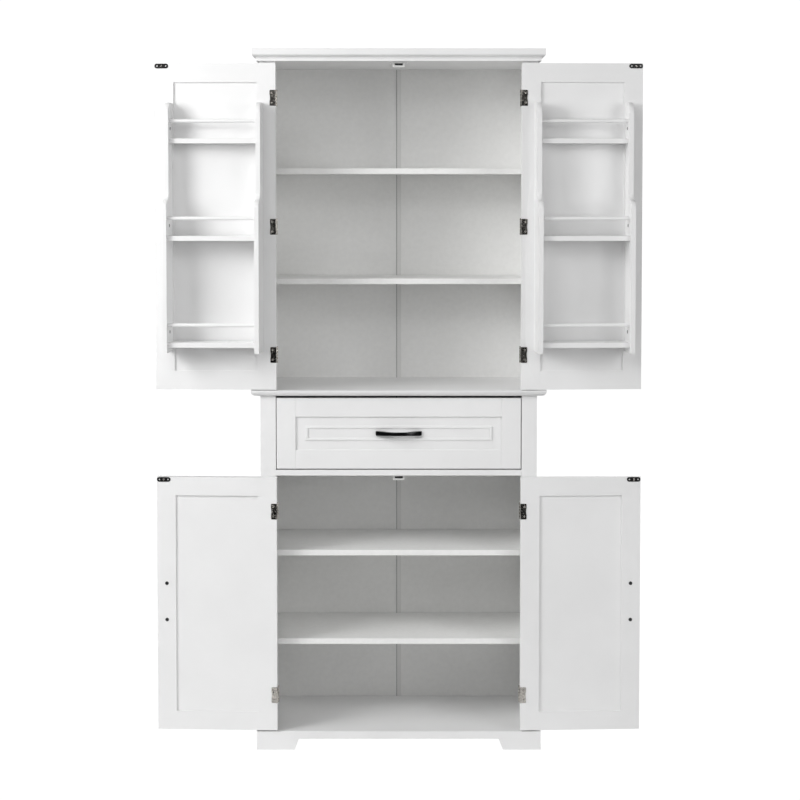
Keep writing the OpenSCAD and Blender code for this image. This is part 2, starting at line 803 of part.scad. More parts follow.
// Channel fixed to the cleat, open towards the drawer
module fixed_runners() color(steel) both_sides() {
    h = runner_h / 2;
    in = box_w / 2 + 2 * runner_t;
    span([cleat_x - runner_t, runner_y, runner_z - h], [cleat_x, runner_y + runner_len, runner_z + h]);
    for (s = [-1, 1])
        span([in, runner_y, runner_z + s * (h - runner_t / 2) - runner_t / 2],
            [cleat_x, runner_y + runner_len, runner_z + s * (h - runner_t / 2) + runner_t / 2]);
}

// Rail screwed to the drawer box, which runs inside the channel
module drawer_runners() color(steel) both_sides() {
    h = runner_h / 3;
    base = box_w / 2;
    span([base, runner_y, runner_z - h], [base + runner_t, runner_y + runner_len, runner_z + h]);
    span([base, runner_y, runner_z - h / 2], [cleat_x - runner_t - slip, runner_y + runner_len, runner_z + h / 2]);
}

module runner_cleats() color(paint) both_sides()
    span([cleat_x, runner_y, runner_z - cleat_h / 2],
        [inner_w, runner_y + runner_len, runner_z + cleat_h / 2]);

// ---------------------------------------------------------------- assembly

centred() upper_sides();
centred() lower_sides();
centred() upper_stiles();
centred() lower_stiles();
centred() crown_board();
centred() crown_moulding();
centred() top_panel();
centred() ledge_board();
centred() divider_board();
centred() bottom_panel();
centred() plinth();
centred() back_panels();
centred() back_joint_strips();
centred() shelves();
centred() shelf_pins();
centred() catch_housings();
centred() catch_magnets();
centred() frame_hinge_leaves();
centred() hinge_pins();
centred() frame_screws();
centred() runner_cleats();
centred() fixed_runners();
centred() drawer_front_frame();
centred() drawer_front_panel();
centred() drawer_front_bead();
centred() drawer_box_walls();
centred() drawer_bottom();
centred() drawer_pull();
centred() drawer_screws();
centred() drawer_runners();
centred() door_at(-1) door_frame(upper_door, upper_hinges, upper_pull_z);  // upper_left_door_frame
centred() door_at(-1) door_panel(upper_door);  // upper_left_door_panel
centred() door_at(-1) hinge_leaves(upper_hinges);  // upper_left_hinge_leaves
centred() door_at(-1) door_screws(upper_door, upper_hinges, upper_pull_z, true);  // upper_left_screws
centred() door_at(-1) strike_plate(upper_door);  // upper_left_strike_plate
centred() door_at(-1) door_pull(upper_pull_z);  // upper_left_pull
centred() door_at(-1) rack_sides();  // upper_left_rack_sides
centred() door_at(-1) rack_shelves();  // upper_left_rack_shelves
centred() door_at(-1) rack_rails();  // upper_left_rack_rails
centred() door_at(1) door_frame(upper_door, upper_hinges, upper_pull_z);  // upper_right_door_frame
centred() door_at(1) door_panel(upper_door);  // upper_right_door_panel
centred() door_at(1) hinge_leaves(upper_hinges);  // upper_right_hinge_leaves
centred() door_at(1) door_screws(upper_door, upper_hinges, upper_pull_z, true);  // upper_right_screws
centred() door_at(1) strike_plate(upper_door);  // upper_right_strike_plate
centred() door_at(1) door_pull(upper_pull_z);  // upper_right_pull
centred() door_at(1) rack_sides();  // upper_right_rack_sides
centred() door_at(1) rack_shelves();  // upper_right_rack_shelves
centred() door_at(1) rack_rails();  // upper_right_rack_rails
centred() door_at(-1) door_frame(lower_door, lower_hinges, lower_pull_z);  // lower_left_door_frame
centred() door_at(-1) door_panel(lower_door);  // lower_left_door_panel
centred() door_at(-1) hinge_leaves(lower_hinges);  // lower_left_hinge_leaves
centred() door_at(-1) door_screws(lower_door, lower_hinges, lower_pull_z, false);  // lower_left_screws
centred() door_at(-1) strike_plate(lower_door);  // lower_left_strike_plate
centred() door_at(-1) door_pull(lower_pull_z);  // lower_left_pull
centred() door_at(1) door_frame(lower_door, lower_hinges, lower_pull_z);  // lower_right_door_frame
centred() door_at(1) door_panel(lower_door);  // lower_right_door_panel
centred() door_at(1) hinge_leaves(lower_hinges);  // lower_right_hinge_leaves
centred() door_at(1) door_screws(lower_door, lower_hinges, lower_pull_z, false);  // lower_right_screws
centred() door_at(1) strike_plate(lower_door);  // lower_right_strike_plate
centred() door_at(1) door_pull(lower_pull_z);  // lower_right_pull
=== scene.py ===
"""Finishes, small hardware and studio for the pantry cabinet, laid out as a Blender add-on."""
import json
import math

import bmesh
import bpy
from mathutils import Matrix, Vector


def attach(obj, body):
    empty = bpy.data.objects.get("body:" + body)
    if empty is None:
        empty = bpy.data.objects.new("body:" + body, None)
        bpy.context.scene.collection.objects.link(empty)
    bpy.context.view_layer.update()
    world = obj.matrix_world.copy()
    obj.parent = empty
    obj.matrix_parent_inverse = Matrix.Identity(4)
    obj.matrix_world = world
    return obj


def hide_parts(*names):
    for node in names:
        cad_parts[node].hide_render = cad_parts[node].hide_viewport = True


bl_info = {
    "name": "Pantry Cabinet",
    "version": (1, 0, 0),
    "blender": (4, 5, 0),
    "location": "3D View > Sidebar > Pantry",
    "description": "Finishes, hardware and studio for a two-part pantry cabinet",
    "category": "Object",
}

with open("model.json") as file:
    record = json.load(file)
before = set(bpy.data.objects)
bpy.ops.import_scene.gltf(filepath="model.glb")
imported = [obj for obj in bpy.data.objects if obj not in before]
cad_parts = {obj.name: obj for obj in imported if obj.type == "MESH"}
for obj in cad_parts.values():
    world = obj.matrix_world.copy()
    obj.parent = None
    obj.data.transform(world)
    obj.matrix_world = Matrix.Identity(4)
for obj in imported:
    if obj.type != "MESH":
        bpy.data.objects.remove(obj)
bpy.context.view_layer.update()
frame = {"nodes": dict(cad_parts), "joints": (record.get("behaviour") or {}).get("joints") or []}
nodes = frame["nodes"]
joints = {joint["name"]: joint for joint in frame["joints"]}

LEVELS = ("upper", "lower")
SIDES = {"left": -1, "right": 1}
RIGHT = Vector((1, 0, 0))
BACK = Vector((0, 1, 0))
FRONT = Vector((0, -1, 0))
UP = Vector((0, 0, 1))
MM = 0.001
SAME_PLACE = 0.002 * MM  # points nearer to each other than this are joined


# ---------------------------------------------------------------- properties

def colour_property(name, description, default):
    return bpy.props.FloatVectorProperty(
        name=name, description=description, default=default,
        subtype="COLOR", size=3, min=0.0, max=1.0)


def length_property(name, description, default):
    return bpy.props.FloatProperty(
        name=name, description=description, default=default, unit="LENGTH", min=0.0)


class PantryColours(bpy.types.PropertyGroup):
    """Colours of the cabinet's finishes."""

    lacquer: colour_property(
        "Lacquer", "White lacquer on the doors, frames and mouldings", (0.875, 0.875, 0.875))
    inside: colour_property(
        "Inside", "White coating of the boards inside", (0.895, 0.895, 0.885))
    drawer_box: colour_property(
        "Drawer box", "Coating of the drawer's box", (0.80, 0.79, 0.76))
    strip: colour_property(
        "Joint strip", "Plastic strip between the back panels", (0.80, 0.80, 0.79))
    catch: colour_property(
        "Catch", "Moulded plastic of the magnetic catches", (0.78, 0.78, 0.77))
    black: colour_property(
        "Black metal", "Coating of the pulls", (0.0035, 0.0035, 0.004))
    nickel: colour_property(
        "Nickel", "Plating of the hinges", (0.62, 0.59, 0.55))
    steel: colour_property(
        "Zinc steel", "Plating of the runners and shelf pins", (0.66, 0.67, 0.68))
    magnet: colour_property(
        "Magnet", "Black of the catches' magnets", (0.02, 0.02, 0.021))
    strike: colour_property(
        "Strike plate", "Black coating of the strike plates", (0.01, 0.01, 0.01))
    black_screw: colour_property(
        "Black screws", "Coating of the pull bolts and rack connectors", (0.015, 0.015, 0.016))


class PantrySizes(bpy.types.PropertyGroup):
    """Sizes of the details that the finishes add."""

    board_edge: length_property(
        "Board edge", "Width of the eased edge on a board", 0.7 * MM)
    joint_edge: length_property(
        "Joint edge", "Width of the eased edge where rails meet stiles", 0.85 * MM)
    metal_edge: length_property(
        "Metal edge", "Width of the broken edge on sheet metal", 0.12 * MM)
    texture: length_property(
        "Lacquer texture", "Width of one dimple in the lacquer", 1.6 * MM)


# ---------------------------------------------------------------- shader wires

class Wire:
    """A node's output. Arithmetic on it adds Math nodes to its tree."""

    def __init__(self, tree, output=None):
        self.tree = tree
        self.output = output

    def add(self, kind, settings=None, sockets=None, result=0):
        """Adds a node: its settings first, then the values or links of its sockets."""
        node = self.tree.nodes.new("ShaderNode" + kind)
        for name, value in (settings or {}).items():
            if name == "stops":
                self.set_stops(node.color_ramp, value)
            else:
                setattr(node, name, value)
        for name, value in (sockets or {}).items():
            if isinstance(value, Wire):
                self.tree.links.new(value.output, node.inputs[name])
            else:
                node.inputs[name].default_value = value
        return Wire(self.tree, node.outputs[result] if node.outputs else None)

    @staticmethod
    def set_stops(ramp, stops):
        while len(ramp.elements) < len(stops):
            ramp.elements.new(0.5)
        for element, (place, grey) in zip(ramp.elements, stops):
            element.position = place
            element.color = (grey, grey, grey, 1)

    def math(self, operation, first, second):
        return self.add("Math", {"operation": operation}, {0: first, 1: second})

    def __add__(self, other):
        return self.math("ADD", self, other)

    def __radd__(self, other):
        return self.math("ADD", other, self)

    def __sub__(self, other):
        return self.math("SUBTRACT", self, other)

    def __rsub__(self, other):
        return self.math("SUBTRACT", other, self)

    def __mul__(self, other):
        return self.math("MULTIPLY", self, other)

    def __rmul__(self, other):
        return self.math("MULTIPLY", other, self)


def noise(start, places, size, detail=2.0, roughness=0.5):
    """Noise whose lumps are about size metres across."""
    return start.add("TexNoise", {}, {
        "Vector": places, "Scale": 1 / size, "Detail": detail, "Roughness": roughness})


def ramp(start, value, *stops):
    return start.add("ValToRGB", {"stops": stops}, {"Fac": value})


def blend_colours(start, amount, first, second):
    return start.add("Mix", {"data_type": "RGBA"}, {0: amount, 6: first, 7: second}, 2)


def stretch(start, places, scale):
    return start.add("VectorMath", {"operation": "MULTIPLY"}, {0: places, 1: scale})


def bump(start, height, depth, strength=1.0):
    return start.add("Bump", {}, {"Height": height, "Distance": depth, "Strength": strength})


def shade(colour, factor):
    """A colour made lighter or darker by one factor."""
    return tuple(min(1.0, part * factor) for part in colour) + (1.0,)


def new_material(name):
    material = bpy.data.materials.new(name)
    material.use_nodes = True
    tree = material.node_tree
    tree.nodes.clear()
    start = Wire(tree)
    places = start.add("TexCoord", {}, {}, "Object")
    return material, start, places


def finish_material(start, constants, varying):
    """The Principled shader: plain values on its own sockets, and what varies through links."""
    shader = start.add("BsdfPrincipled", {}, {**constants, **varying})
    start.add("OutputMaterial", {}, {"Surface": shader})


# ---------------------------------------------------------------- materials

def lacquer_material(name, colour, texture, roughness):
    """Sprayed lacquer on board: fine dimples, a faint cloudiness and a few specks of dust."""
    material, start, places = new_material(name)
    dimples = noise(start, places, texture)
    waves = noise(start, places, texture * 14, 1.0)
    clouds = noise(start, places, 0.16, 3.0)
    specks = ramp(start, noise(start, places, texture * 2.2, 4.0), (0.70, 0.0), (0.76, 1.0))
    tone = ramp(start, clouds, (0.32, 0.0), (0.68, 1.0))
    base = blend_colours(start, tone, shade(colour, 0.975), shade(colour, 1.012))
    height = dimples * 0.6 + waves * 0.8 + specks * 0.5
    finish_material(start, {"IOR": 1.48}, {
        "Base Color": base,
        "Roughness": dimples * 0.10 + clouds * 0.06 + (roughness - 0.08),
        "Normal": bump(start, height, 0.05 * MM),
    })
    return material


def board_material(name, colour, texture):
    """Coated board inside the cabinet: a finely pebbled film with a satin surface."""
    material, start, places = new_material(name)
    pebbles = noise(start, places, texture * 1.3, 3.0, 0.6)
    mottle = noise(start, places, 0.012, 3.0, 0.6)
    clouds = noise(start, places, 0.22, 2.0)
    tone = ramp(start, mottle * 0.6 + clouds * 0.4, (0.36, 0.0), (0.64, 1.0))
    base = blend_colours(start, tone, shade(colour, 0.962), shade(colour, 1.012))
    finish_material(start, {"IOR": 1.45}, {
        "Base Color": base,
        "Roughness": pebbles * 0.16 + 0.42,
        "Normal": bump(start, pebbles, 0.06 * MM),
    })
    return material


def plastic_material(name, colour, roughness, painted_shadow_edge=None):
    """Moulded plastic with a fine spark-eroded grain. Where a place across is given, the strip is
    painted darker to the left of it, as a painted shadow of the gap along its left-hand side.
    """
    material, start, places = new_material(name)
    grain = noise(start, places, 0.45 * MM, 3.0)
    flow = noise(start, stretch(start, places, (1, 1, 0.25)), 0.02, 2.0)
    base = blend_colours(start, flow, shade(colour, 0.95), shade(colour, 1.03))
    if painted_shadow_edge is not None:
        # painted shadow of the gap along the strip's left-hand side: darker where the strip's own x
        # is less than the given place
        across = start.add("SeparateXYZ", {}, {"Vector": places})
        in_painted_shadow = start.add("Math", {"operation": "LESS_THAN"}, {0: across, 1: painted_shadow_edge})
        base = blend_colours(start, in_painted_shadow, base, shade(colour, 0.45))
    finish_material(start, {"IOR": 1.5}, {
        "Base Color": base,
        "Roughness": grain * 0.14 + (roughness - 0.07),
        "Normal": bump(start, grain, 0.02 * MM),
    })
    return material


def coated_black_material(name, colour, roughness):
    """Black coating on metal: smooth, with a faint orange peel and paler rubbed spots."""
    material, start, places = new_material(name)
    peel = noise(start, places, 1.1 * MM, 2.0)
    rubs = ramp(start, noise(start, places, 7 * MM, 5.0, 0.65), (0.60, 0.0), (0.80, 1.0))
    base = blend_colours(start, rubs, shade(colour, 1.0), shade(colour, 1.9))
    finish_material(start, {"IOR": 1.5, "Specular IOR Level": 0.6}, {
        "Base Color": base,
        "Roughness": peel * 0.07 + rubs * 0.10 + (roughness - 0.03),
        "Normal": bump(start, peel, 0.015 * MM),
    })
    return material


def plated_material(name, colour, roughness, scratch_size):
    """Plated metal: drawn scratches, faint tarnish and a little waviness from the press."""
    material, start, places = new_material(name)
    drawn = noise(start, stretch(start, places, (1, 1, 0.06)), scratch_size, 4.0, 0.7)
    tarnish = ramp(start, noise(start, places, 5 * MM, 4.0), (0.40, 0.0), (0.72, 1.0))
    press = noise(start, places, 3.5 * MM, 1.0)
    base = blend_colours(start, tarnish, shade(colour, 1.04), shade(colour, 0.72))
    finish_material(start, {"IOR": 1.5}, {
        "Base Color": base,
        "Metallic": 1.0 - tarnish * 0.12,
        "Roughness": drawn * 0.12 + tarnish * 0.14 + (roughness - 0.05),
        "Normal": bump(start, drawn * 0.4 + press, 0.02 * MM),
    })
    return material


STRIP_PAINTED_SHADOW_EDGE = -4.7 * MM  # where the painted shadow of the gap along the joint strip's left-hand side begins


def make_materials(scene):
    colours = scene.pantry_colours
    texture = scene.pantry_sizes.texture
    return {
        "lacquer": lacquer_material("white_lacquer_finish", colours.lacquer, texture, 0.40),
        "inside": board_material("inner_white_finish", colours.inside, texture),
        "drawer_box": board_material("drawer_box_finish", colours.drawer_box, texture),
        "strip": plastic_material("strip_plastic_painted_shadow_finish", colours.strip, 0.46, STRIP_PAINTED_SHADOW_EDGE),
        "catch": plastic_material("catch_plastic_finish", colours.catch, 0.40),
        "magnet": coated_black_material("magnet_black_finish", colours.magnet, 0.50),
        "strike": coated_black_material("strike_black_finish", colours.strike, 0.30),
        "black": coated_black_material("black_metal_finish", colours.black, 0.22),
        "black_screw": coated_black_material("black_screws_finish", colours.black_screw, 0.33),
        "nickel": plated_material("hinge_nickel_finish", colours.nickel, 0.16, 0.5 * MM),
        "steel": plated_material("zinc_steel_finish", colours.steel, 0.34, 0.8 * MM),
    }


materials = {}  # every finish by its short name, once the first step has mixed them


# ---------------------------------------------------------------- work on CAD nodes

FLAT_ANGLE = math.radians(0.4)  # faces that bend less than this become one
EDGE_ANGLE = math.radians(38)  # edges that bend more than this are eased


def finish_node(name, finish, edge=0.0):
    """Gives a CAD node its finish, and eases its sharp edges with modifiers."""
    piece = nodes[name]
    if not piece.data.materials:
        piece.data.materials.append(materials[finish])
    for index in range(len(piece.data.materials)):
        piece.data.materials[index] = materials[finish]
    if edge > 0:
        ease_edges(piece, edge)


def ease_edges(piece, width):
    weld = piece.modifiers.new("weld", "WELD")
    weld.merge_threshold = SAME_PLACE
    flat = piece.modifiers.new("flat faces", "DECIMATE")
    flat.decimate_type = "DISSOLVE"
    flat.angle_limit = FLAT_ANGLE
    bevel = piece.modifiers.new("eased edge", "BEVEL")
    bevel.width = width
    bevel.segments = 2
    bevel.limit_method = "ANGLE"
    bevel.angle_limit = EDGE_ANGLE
    bevel.harden_normals = True
    bevel.use_clamp_overlap = True


def finish_nodes(names, finish, edge=0.0):
    for name in names:
        finish_node(name, finish, edge)


def door_names(part, levels=LEVELS):
    return [f"{level}_{side}_{part}" for level in levels for side in SIDES]


# ---------------------------------------------------------------- new pieces

def new_piece(name, work_mesh, finish, body):
    """Turns a bmesh into a smooth piece that rides on a body."""
    bmesh.ops.recalc_face_normals(work_mesh, faces=work_mesh.faces[:])
    mesh = bpy.data.meshes.new(name)
    work_mesh.to_mesh(mesh)
    work_mesh.free()
    for face in mesh.polygons:
        face.use_smooth = True
    piece = bpy.data.objects.new(name, mesh)
    bpy.context.scene.collection.objects.link(piece)
    mesh.materials.append(materials[finish])
    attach(piece, body)
    return piece


def bridge(work_mesh, rings):
    """Faces between neighbouring rings of vertices, and over the two ends."""
    for lower, upper in zip(rings, rings[1:]):
        count = len(lower)
        for k in range(count):
            after = (k + 1) % count
            work_mesh.faces.new((lower[k], lower[after], upper[after], upper[k]))
    work_mesh.faces.new(list(reversed(rings[0])))
    work_mesh.faces.new(rings[-1])


def open_direction(level, side):
    """The way a door's outer face looks while the door stands open."""
    joint = joints[f"{level}_{side}_hinge"]
    swing = math.radians(joint["range_deg"][1]) * SIDES[side]
    return Matrix.Rotation(swing, 3, "Z") @ FRONT


def islands(name):
    """The separate solids of a CAD node, each as a list of points, in the mesh's own order."""
    work_mesh = bmesh.new()
    work_mesh.from_mesh(nodes[name].data)
    bmesh.ops.remove_doubles(work_mesh, verts=work_mesh.verts[:], dist=SAME_PLACE)
    left = set(work_mesh.verts)
    found = []
    for first in work_mesh.verts:
        if first not in left:
            continue
        left.remove(first)
        edge_of_search = [first]
        solid = []
        while edge_of_search:
            vertex = edge_of_search.pop()
            solid.append(vertex.co.copy())
            for edge in vertex.link_edges:
                other = edge.other_vert(vertex)
                if other in left:
                    left.remove(other)
                    edge_of_search.append(other)
        found.append(solid)
    work_mesh.free()
    return found


def extent(points, direction):
    along = [point.dot(direction) for point in points]
    return min(along), max(along)


def span_of(points, direction):
    low, high = extent(points, direction)
    return high - low


def away(point, middle, axis):
    """A point's distance from the axis through a middle."""
    offset = point - middle
    return (offset - axis * offset.dot(axis)).length


def screw_place(points, directions):
    """Where a screw sits: its middle, the way its head faces and the head's radius."""
    head = span_of(points, UP) / 2
    axis = max(directions, key=lambda way: abs(span_of(points, way) - 2 * head))
    middle = sum((sum(extent(points, way)) / 2 * way for way in (RIGHT, BACK, UP)), Vector())
    rim = [point for point in points if away(point, middle, axis) > HEAD_RIM * head]
    seat = sum(point.dot(axis) for point in rim) / len(rim)
    outward = axis if seat > sum(extent(points, axis)) / 2 else -axis
    return middle, outward, head


# ---------------------------------------------------------------- screws and pins

SCREW_TURNS = 32
DOME_ROWS = 9
DOME_HEIGHT = 0.36  # as a part of the head's radius
DOME_LIMIT = 1.6 * MM
DOME_FOOT = 0.22  # height of the head's straight rim as a part of the dome's
DOME_TOP = 0.04  # radius of the flat on top as a part of the head's radius
SHANK = 0.42  # as a part of the head's radius
RECESS_WIDTH = 0.17  # half width of the cross recess as a part of the head's radius
RECESS_REACH = 0.62  # reach of the recess as a part of the head's radius
RECESS_DEPTH = 0.62  # as a part of the dome's height
HEAD_RIM = 0.9  # points further out than this part of the head's radius are its rim
WIDE_HEAD = 4 * MM  # heads with a larger radius than this are bolts or rack connectors
PIN_TURNS = 24


def facing(place, outward):
    """A matrix that puts +Z along outward at a place."""
    return Matrix.Translation(place) @ outward.to_track_quat("Z", "Y").to_matrix().to_4x4()


def smooth_step(low, high, value):
    part = min(1.0, max(0.0, (value - low) / (high - low)))
    return part * part * (3 - 2 * part)


def recess_depth(x, y, head):
    """How deep the cross recess is at a point of the head, from 0 to 1."""
    reach = math.hypot(x, y) / head
    beside = min(abs(x), abs(y)) / head
    inside = 1 - smooth_step(RECESS_WIDTH * 0.7, RECESS_WIDTH * 1.3, beside)
    return inside * (1 - smooth_step(RECESS_REACH * 0.75, RECESS_REACH, reach))


def add_screw(work_mesh, matrix, head, dome, shank, length):
    """A screw with a domed head and a cross recess. The head's seat is at z = 0."""
    rings = []
    for radius, z in ((shank * 0.5, -length), (shank, -length + shank), (shank, 0.0), (head, 0.0)):
        rings.append((radius, z, False))
    for row in range(DOME_ROWS + 1):
        lean = math.pi / 2 * row / DOME_ROWS
        height = dome * (DOME_FOOT + (1 - DOME_FOOT) * math.sin(lean))
        rings.append((head * max(DOME_TOP, math.cos(lean)), height, True))
    loops = []
    for radius, z, on_dome in rings:
        loop = []
        for k in range(SCREW_TURNS):
            turn = math.tau * k / SCREW_TURNS
            x, y = radius * math.cos(turn), radius * math.sin(turn)
            depth = RECESS_DEPTH * dome * recess_depth(x, y, head) if on_dome else 0.0
            loop.append(work_mesh.verts.new(matrix @ Vector((x, y, z - depth))))
        loops.append(loop)
    bridge(work_mesh, loops)


def make_screws(name, node, body, directions, finish_of):
    """Domed screws in place of a node's plain ones, as one piece for each finish."""
    groups = {}
    for points in islands(node):
        middle, outward, head = screw_place(points, directions)
        groups.setdefault(finish_of(head), []).append((points, middle, outward, head))
    for (finish, slot), screws in sorted(groups.items()):
        work_mesh = bmesh.new()
        for points, middle, outward, head in screws:
            tip, face = extent(points, outward)
            dome = min(DOME_HEIGHT * head, DOME_LIMIT)
            seat = face - dome
            place = middle + outward * (seat - middle.dot(outward))
            add_screw(work_mesh, facing(place, outward), head, dome, head * SHANK, seat - tip)
        new_piece(f"{name}_{finish}", work_mesh, finish, body)
    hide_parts(node)


def finish_by_size(head):
    """Bolts and rack connectors have wide black heads. Hinge and strike screws are plated."""
    return always_black(head) if head > WIDE_HEAD else always_nickel(head)


def always_black(_head):
    return "black_screw", "black_screws"


def always_nickel(_head):
    return "nickel", "hinge_nickel"


def add_lathe(work_mesh, matrix, profile):
    """A turned piece: profile is (radius, height) pairs along +Z."""
    turns = [math.tau * k / PIN_TURNS for k in range(PIN_TURNS)]
    loops = []
    for radius, z in profile:
        ring = [Vector((radius * math.cos(turn), radius * math.sin(turn), z)) for turn in turns]
        loops.append([work_mesh.verts.new(matrix @ point) for point in ring])
    bridge(work_mesh, loops)


def make_shelf_pins():
    """Turned pins with a rounded nose and a groove, in place of the plain ones."""
    work_mesh = bmesh.new()
    for points in islands("shelf_pins"):
        low, high = extent(points, RIGHT)
        y_low, y_high = extent(points, BACK)
        z_low, z_high = extent(points, UP)
        radius = (z_high - z_low) / 2
        length = high - low
        inward = -RIGHT if low > 0 else RIGHT
        wall = high if low > 0 else low
        place = Vector((wall, (y_low + y_high) / 2, (z_low + z_high) / 2))
        groove = 0.86 * radius
        profile = [(0.8 * radius, 0), (radius, 0.06 * length), (radius, 0.55 * length),
                   (groove, 0.58 * length), (groove, 0.62 * length), (radius, 0.65 * length),
                   (radius, 0.92 * length), (0.7 * radius, 0.98 * length), (0.3 * radius, length)]
        add_lathe(work_mesh, facing(place, inward), profile)
    piece = new_piece("turned_shelf_pins", work_mesh, "steel", "carcass")
    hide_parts("shelf_pins")


# ---------------------------------------------------------------- pulls

PULL_STATIONS = 72
PULL_ROUND = 1.7 * MM  # radius of the bow's long edges
PULL_TIP = 5 * MM  # thickness of the bow at its tips
PULL_BAR = 6 * MM  # thickness of the bow in the middle
PULL_FOOT = 40 * MM  # from the middle to where a foot begins
PULL_HEIGHT = 4.75 * MM  # half height of the bow in the middle
PULL_FLARE = 1.25 * MM  # how much the half height grows towards the tips
FLARE_START = 0.30  # where that begins, as a part of half the length
END_ROUND = 1.2 * MM  # length of the rounded ends
END_SIZE = 0.72  # size of the section at the very end


def arc_height(x, half_chord, rise):
    """Height at x of an arc that rises over a chord."""
    radius = (half_chord ** 2 + rise ** 2) / (2 * rise)
    if abs(x) >= half_chord:
        return 0.0
    return max(0.0, math.sqrt(radius ** 2 - x ** 2) - (radius - rise))


def rounded_section(low, high, half_width, corner):
    """A rounded rectangle as (outwards, across) points."""
    corner = min(corner, 0.48 * (high - low), 0.9 * half_width)
    points = []
    corners = ((high - corner, half_width - corner, 0), (low + corner, half_width - corner, 1),
               (low + corner, corner - half_width, 2), (high - corner, corner - half_width, 3))
    for out, across, quarter in corners:
        for step in range(5):
            turn = math.pi / 2 * (quarter + step / 4)
            points.append((out + corner * math.cos(turn), across + corner * math.sin(turn)))
    return points


def pull_section(x, length, out):
    """The bow at x: a flat foot, an arched bar and a height that flares to the tips."""
    outer = PULL_TIP + arc_height(x, length / 2, out - PULL_TIP)
    inner = arc_height(x, PULL_FOOT, out - PULL_BAR)
    flare = smooth_step(FLARE_START, 1.0, abs(x) / (length / 2))
    return inner, outer, PULL_HEIGHT + PULL_FLARE * flare


def make_pull(node, body, along, outward):
    """A bow pull in place of a node's plain one, of the same length and reach."""
    points = [vertex.co for vertex in nodes[node].data.vertices]
    across = along.cross(outward)
    low, high = extent(points, along)
    face, front = extent(points, outward)
    side_low, side_high = extent(points, across)
    length, out = high - low, front - face
    middle = along * (low + high) / 2 + across * (side_low + side_high) / 2 + outward * face
    work_mesh = bmesh.new()
    loops = []
    for station in range(PULL_STATIONS + 1):
        turn = math.pi * station / PULL_STATIONS
        x = -length / 2 * math.cos(turn)
        inner, outer, half_height = pull_section(x, length, out)
        end = smooth_step(0.0, END_ROUND, length / 2 - abs(x))
        shrink = END_SIZE + (1 - END_SIZE) * end
        mid = (inner + outer) / 2
        half = (outer - inner) / 2 * shrink
        section = rounded_section(mid - half, mid + half, half_height * shrink, PULL_ROUND)
        loops.append([work_mesh.verts.new(middle + along * x + outward * o + across * a)
                      for o, a in section])
    bridge(work_mesh, loops)
    piece = new_piece(f"{node}_bow", work_mesh, "black", body)
    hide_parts(node)


# ---------------------------------------------------------------- stage

CAMERA_PLACE = (0, -5.4867, 1.455)
CAMERA_TILT = math.radians(3.03)  # downwards from level
CAMERA_LENS = 92.79
CAMERA_SHIFT = (0.0016, -0.12)
BACKDROP = 1.05  # brightness of the world where it is seen: just past white
WORLD_LIGHT = 0.10
AIM = (0, 0, 0.95)
LIGHTS = {  # name: place, size, power in watts, and whether polished metal mirrors it
    "left": ((-2.4, -2.2, 1.9), 1.2, 42.5, False),
    "high left": ((-2.2, -1.3, 2.6), 1.2, 28.0, False),
    "high": ((-0.8, -2.6, 2.8), 1.2, 15.6, True),
    "right": ((2.2, -2.4, 1.8), 1.5, 28.0, True),
    "low": ((0, -1.6, 0.25), 0.9, 1.6, False),
    "glint": ((2.0, -2.3, 0.55), 0.3, 2.0, True),
    "back": ((1.4, 3.4, 2.3), 1.5, 34.0, True),
}


def add_area_light(name, place, size, power, mirrored):
    data = bpy.data.lights.new(name, "AREA")
    data.size = size
    data.energy = power
    light = bpy.data.objects.new(name, data)
    light.location = place
    light.rotation_euler = (Vector(AIM) - Vector(place)).to_track_quat("-Z", "Y").to_euler()
    light.visible_camera = False
    light.visible_glossy = mirrored
    bpy.context.scene.collection.objects.link(light)


def make_floor():
    """A pale floor that lights the cabinet from below but isn't seen itself. It ends a little
    way in front, so that only low metal mirrors it."""
    work_mesh = bmesh.new()
    reach_side, reach_front, reach_back, columns = 3.2, 1.25, 3.2, 24
    rows = []
    for j in range(columns + 1):
        y = -reach_front + (reach_front + reach_back) * j / columns
        rows.append([work_mesh.verts.new((-reach_side + 2 * reach_side * i / columns, y, 0))
                     for i in range(columns + 1)])
    for near, far in zip(rows, rows[1:]):
        for i in range(columns):
            work_mesh.faces.new((near[i], near[i + 1], far[i + 1], far[i]))
    mesh = bpy.data.meshes.new("studio_floor")
    work_mesh.to_mesh(mesh)
    work_mesh.free()
    floor = bpy.data.objects.new("studio_floor", mesh)
    bpy.context.scene.collection.objects.link(floor)
    material, start, places = new_material("studio_floor_paper")
    paper = noise(start, places, 4 * MM, 2.0)
    base = blend_colours(start, paper, (0.90, 0.90, 0.90, 1), (0.94, 0.94, 0.94, 1))
    finish_material(start, {"IOR": 1.45}, {"Base Color": base, "Roughness": paper * 0.1 + 0.8})
    mesh.materials.append(material)
    floor.visible_camera = False


def make_world():
    """White where the camera looks past the cabinet, dimmer as a light, and dark in reflections."""
    world = bpy.data.worlds.new("studio")
    bpy.context.scene.world = world
    world.use_nodes = True
    world.cycles_visibility.glossy = False
    tree = world.node_tree
    tree.nodes.clear()
    start = Wire(tree)
    seen = start.add("LightPath", {}, {}, "Is Camera Ray")
    strength = seen * (BACKDROP - WORLD_LIGHT) + WORLD_LIGHT
    backdrop = start.add("Background", {}, {"Color": (1, 1, 1, 1), "Strength": strength})
    start.add("OutputWorld", {}, {"Surface": backdrop})


def make_camera():
    data = bpy.data.cameras.new("front")
    data.lens = CAMERA_LENS
    data.sensor_width = 36
    data.shift_x, data.shift_y = CAMERA_SHIFT
    camera = bpy.data.objects.new("front", data)
    camera.location = CAMERA_PLACE
    camera.rotation_euler = (math.radians(90) - CAMERA_TILT, 0, 0)
    bpy.context.scene.collection.objects.link(camera)
    bpy.context.scene.camera = camera


# ---------------------------------------------------------------- operators

class PANTRY_OT_materials(bpy.types.Operator):
    """Mix every finish from the colours"""

    bl_idname = "pantry.materials"
    bl_label = "Mix Finishes"

    def execute(self, context):
        materials.update(make_materials(context.scene))
        return {"FINISHED"}


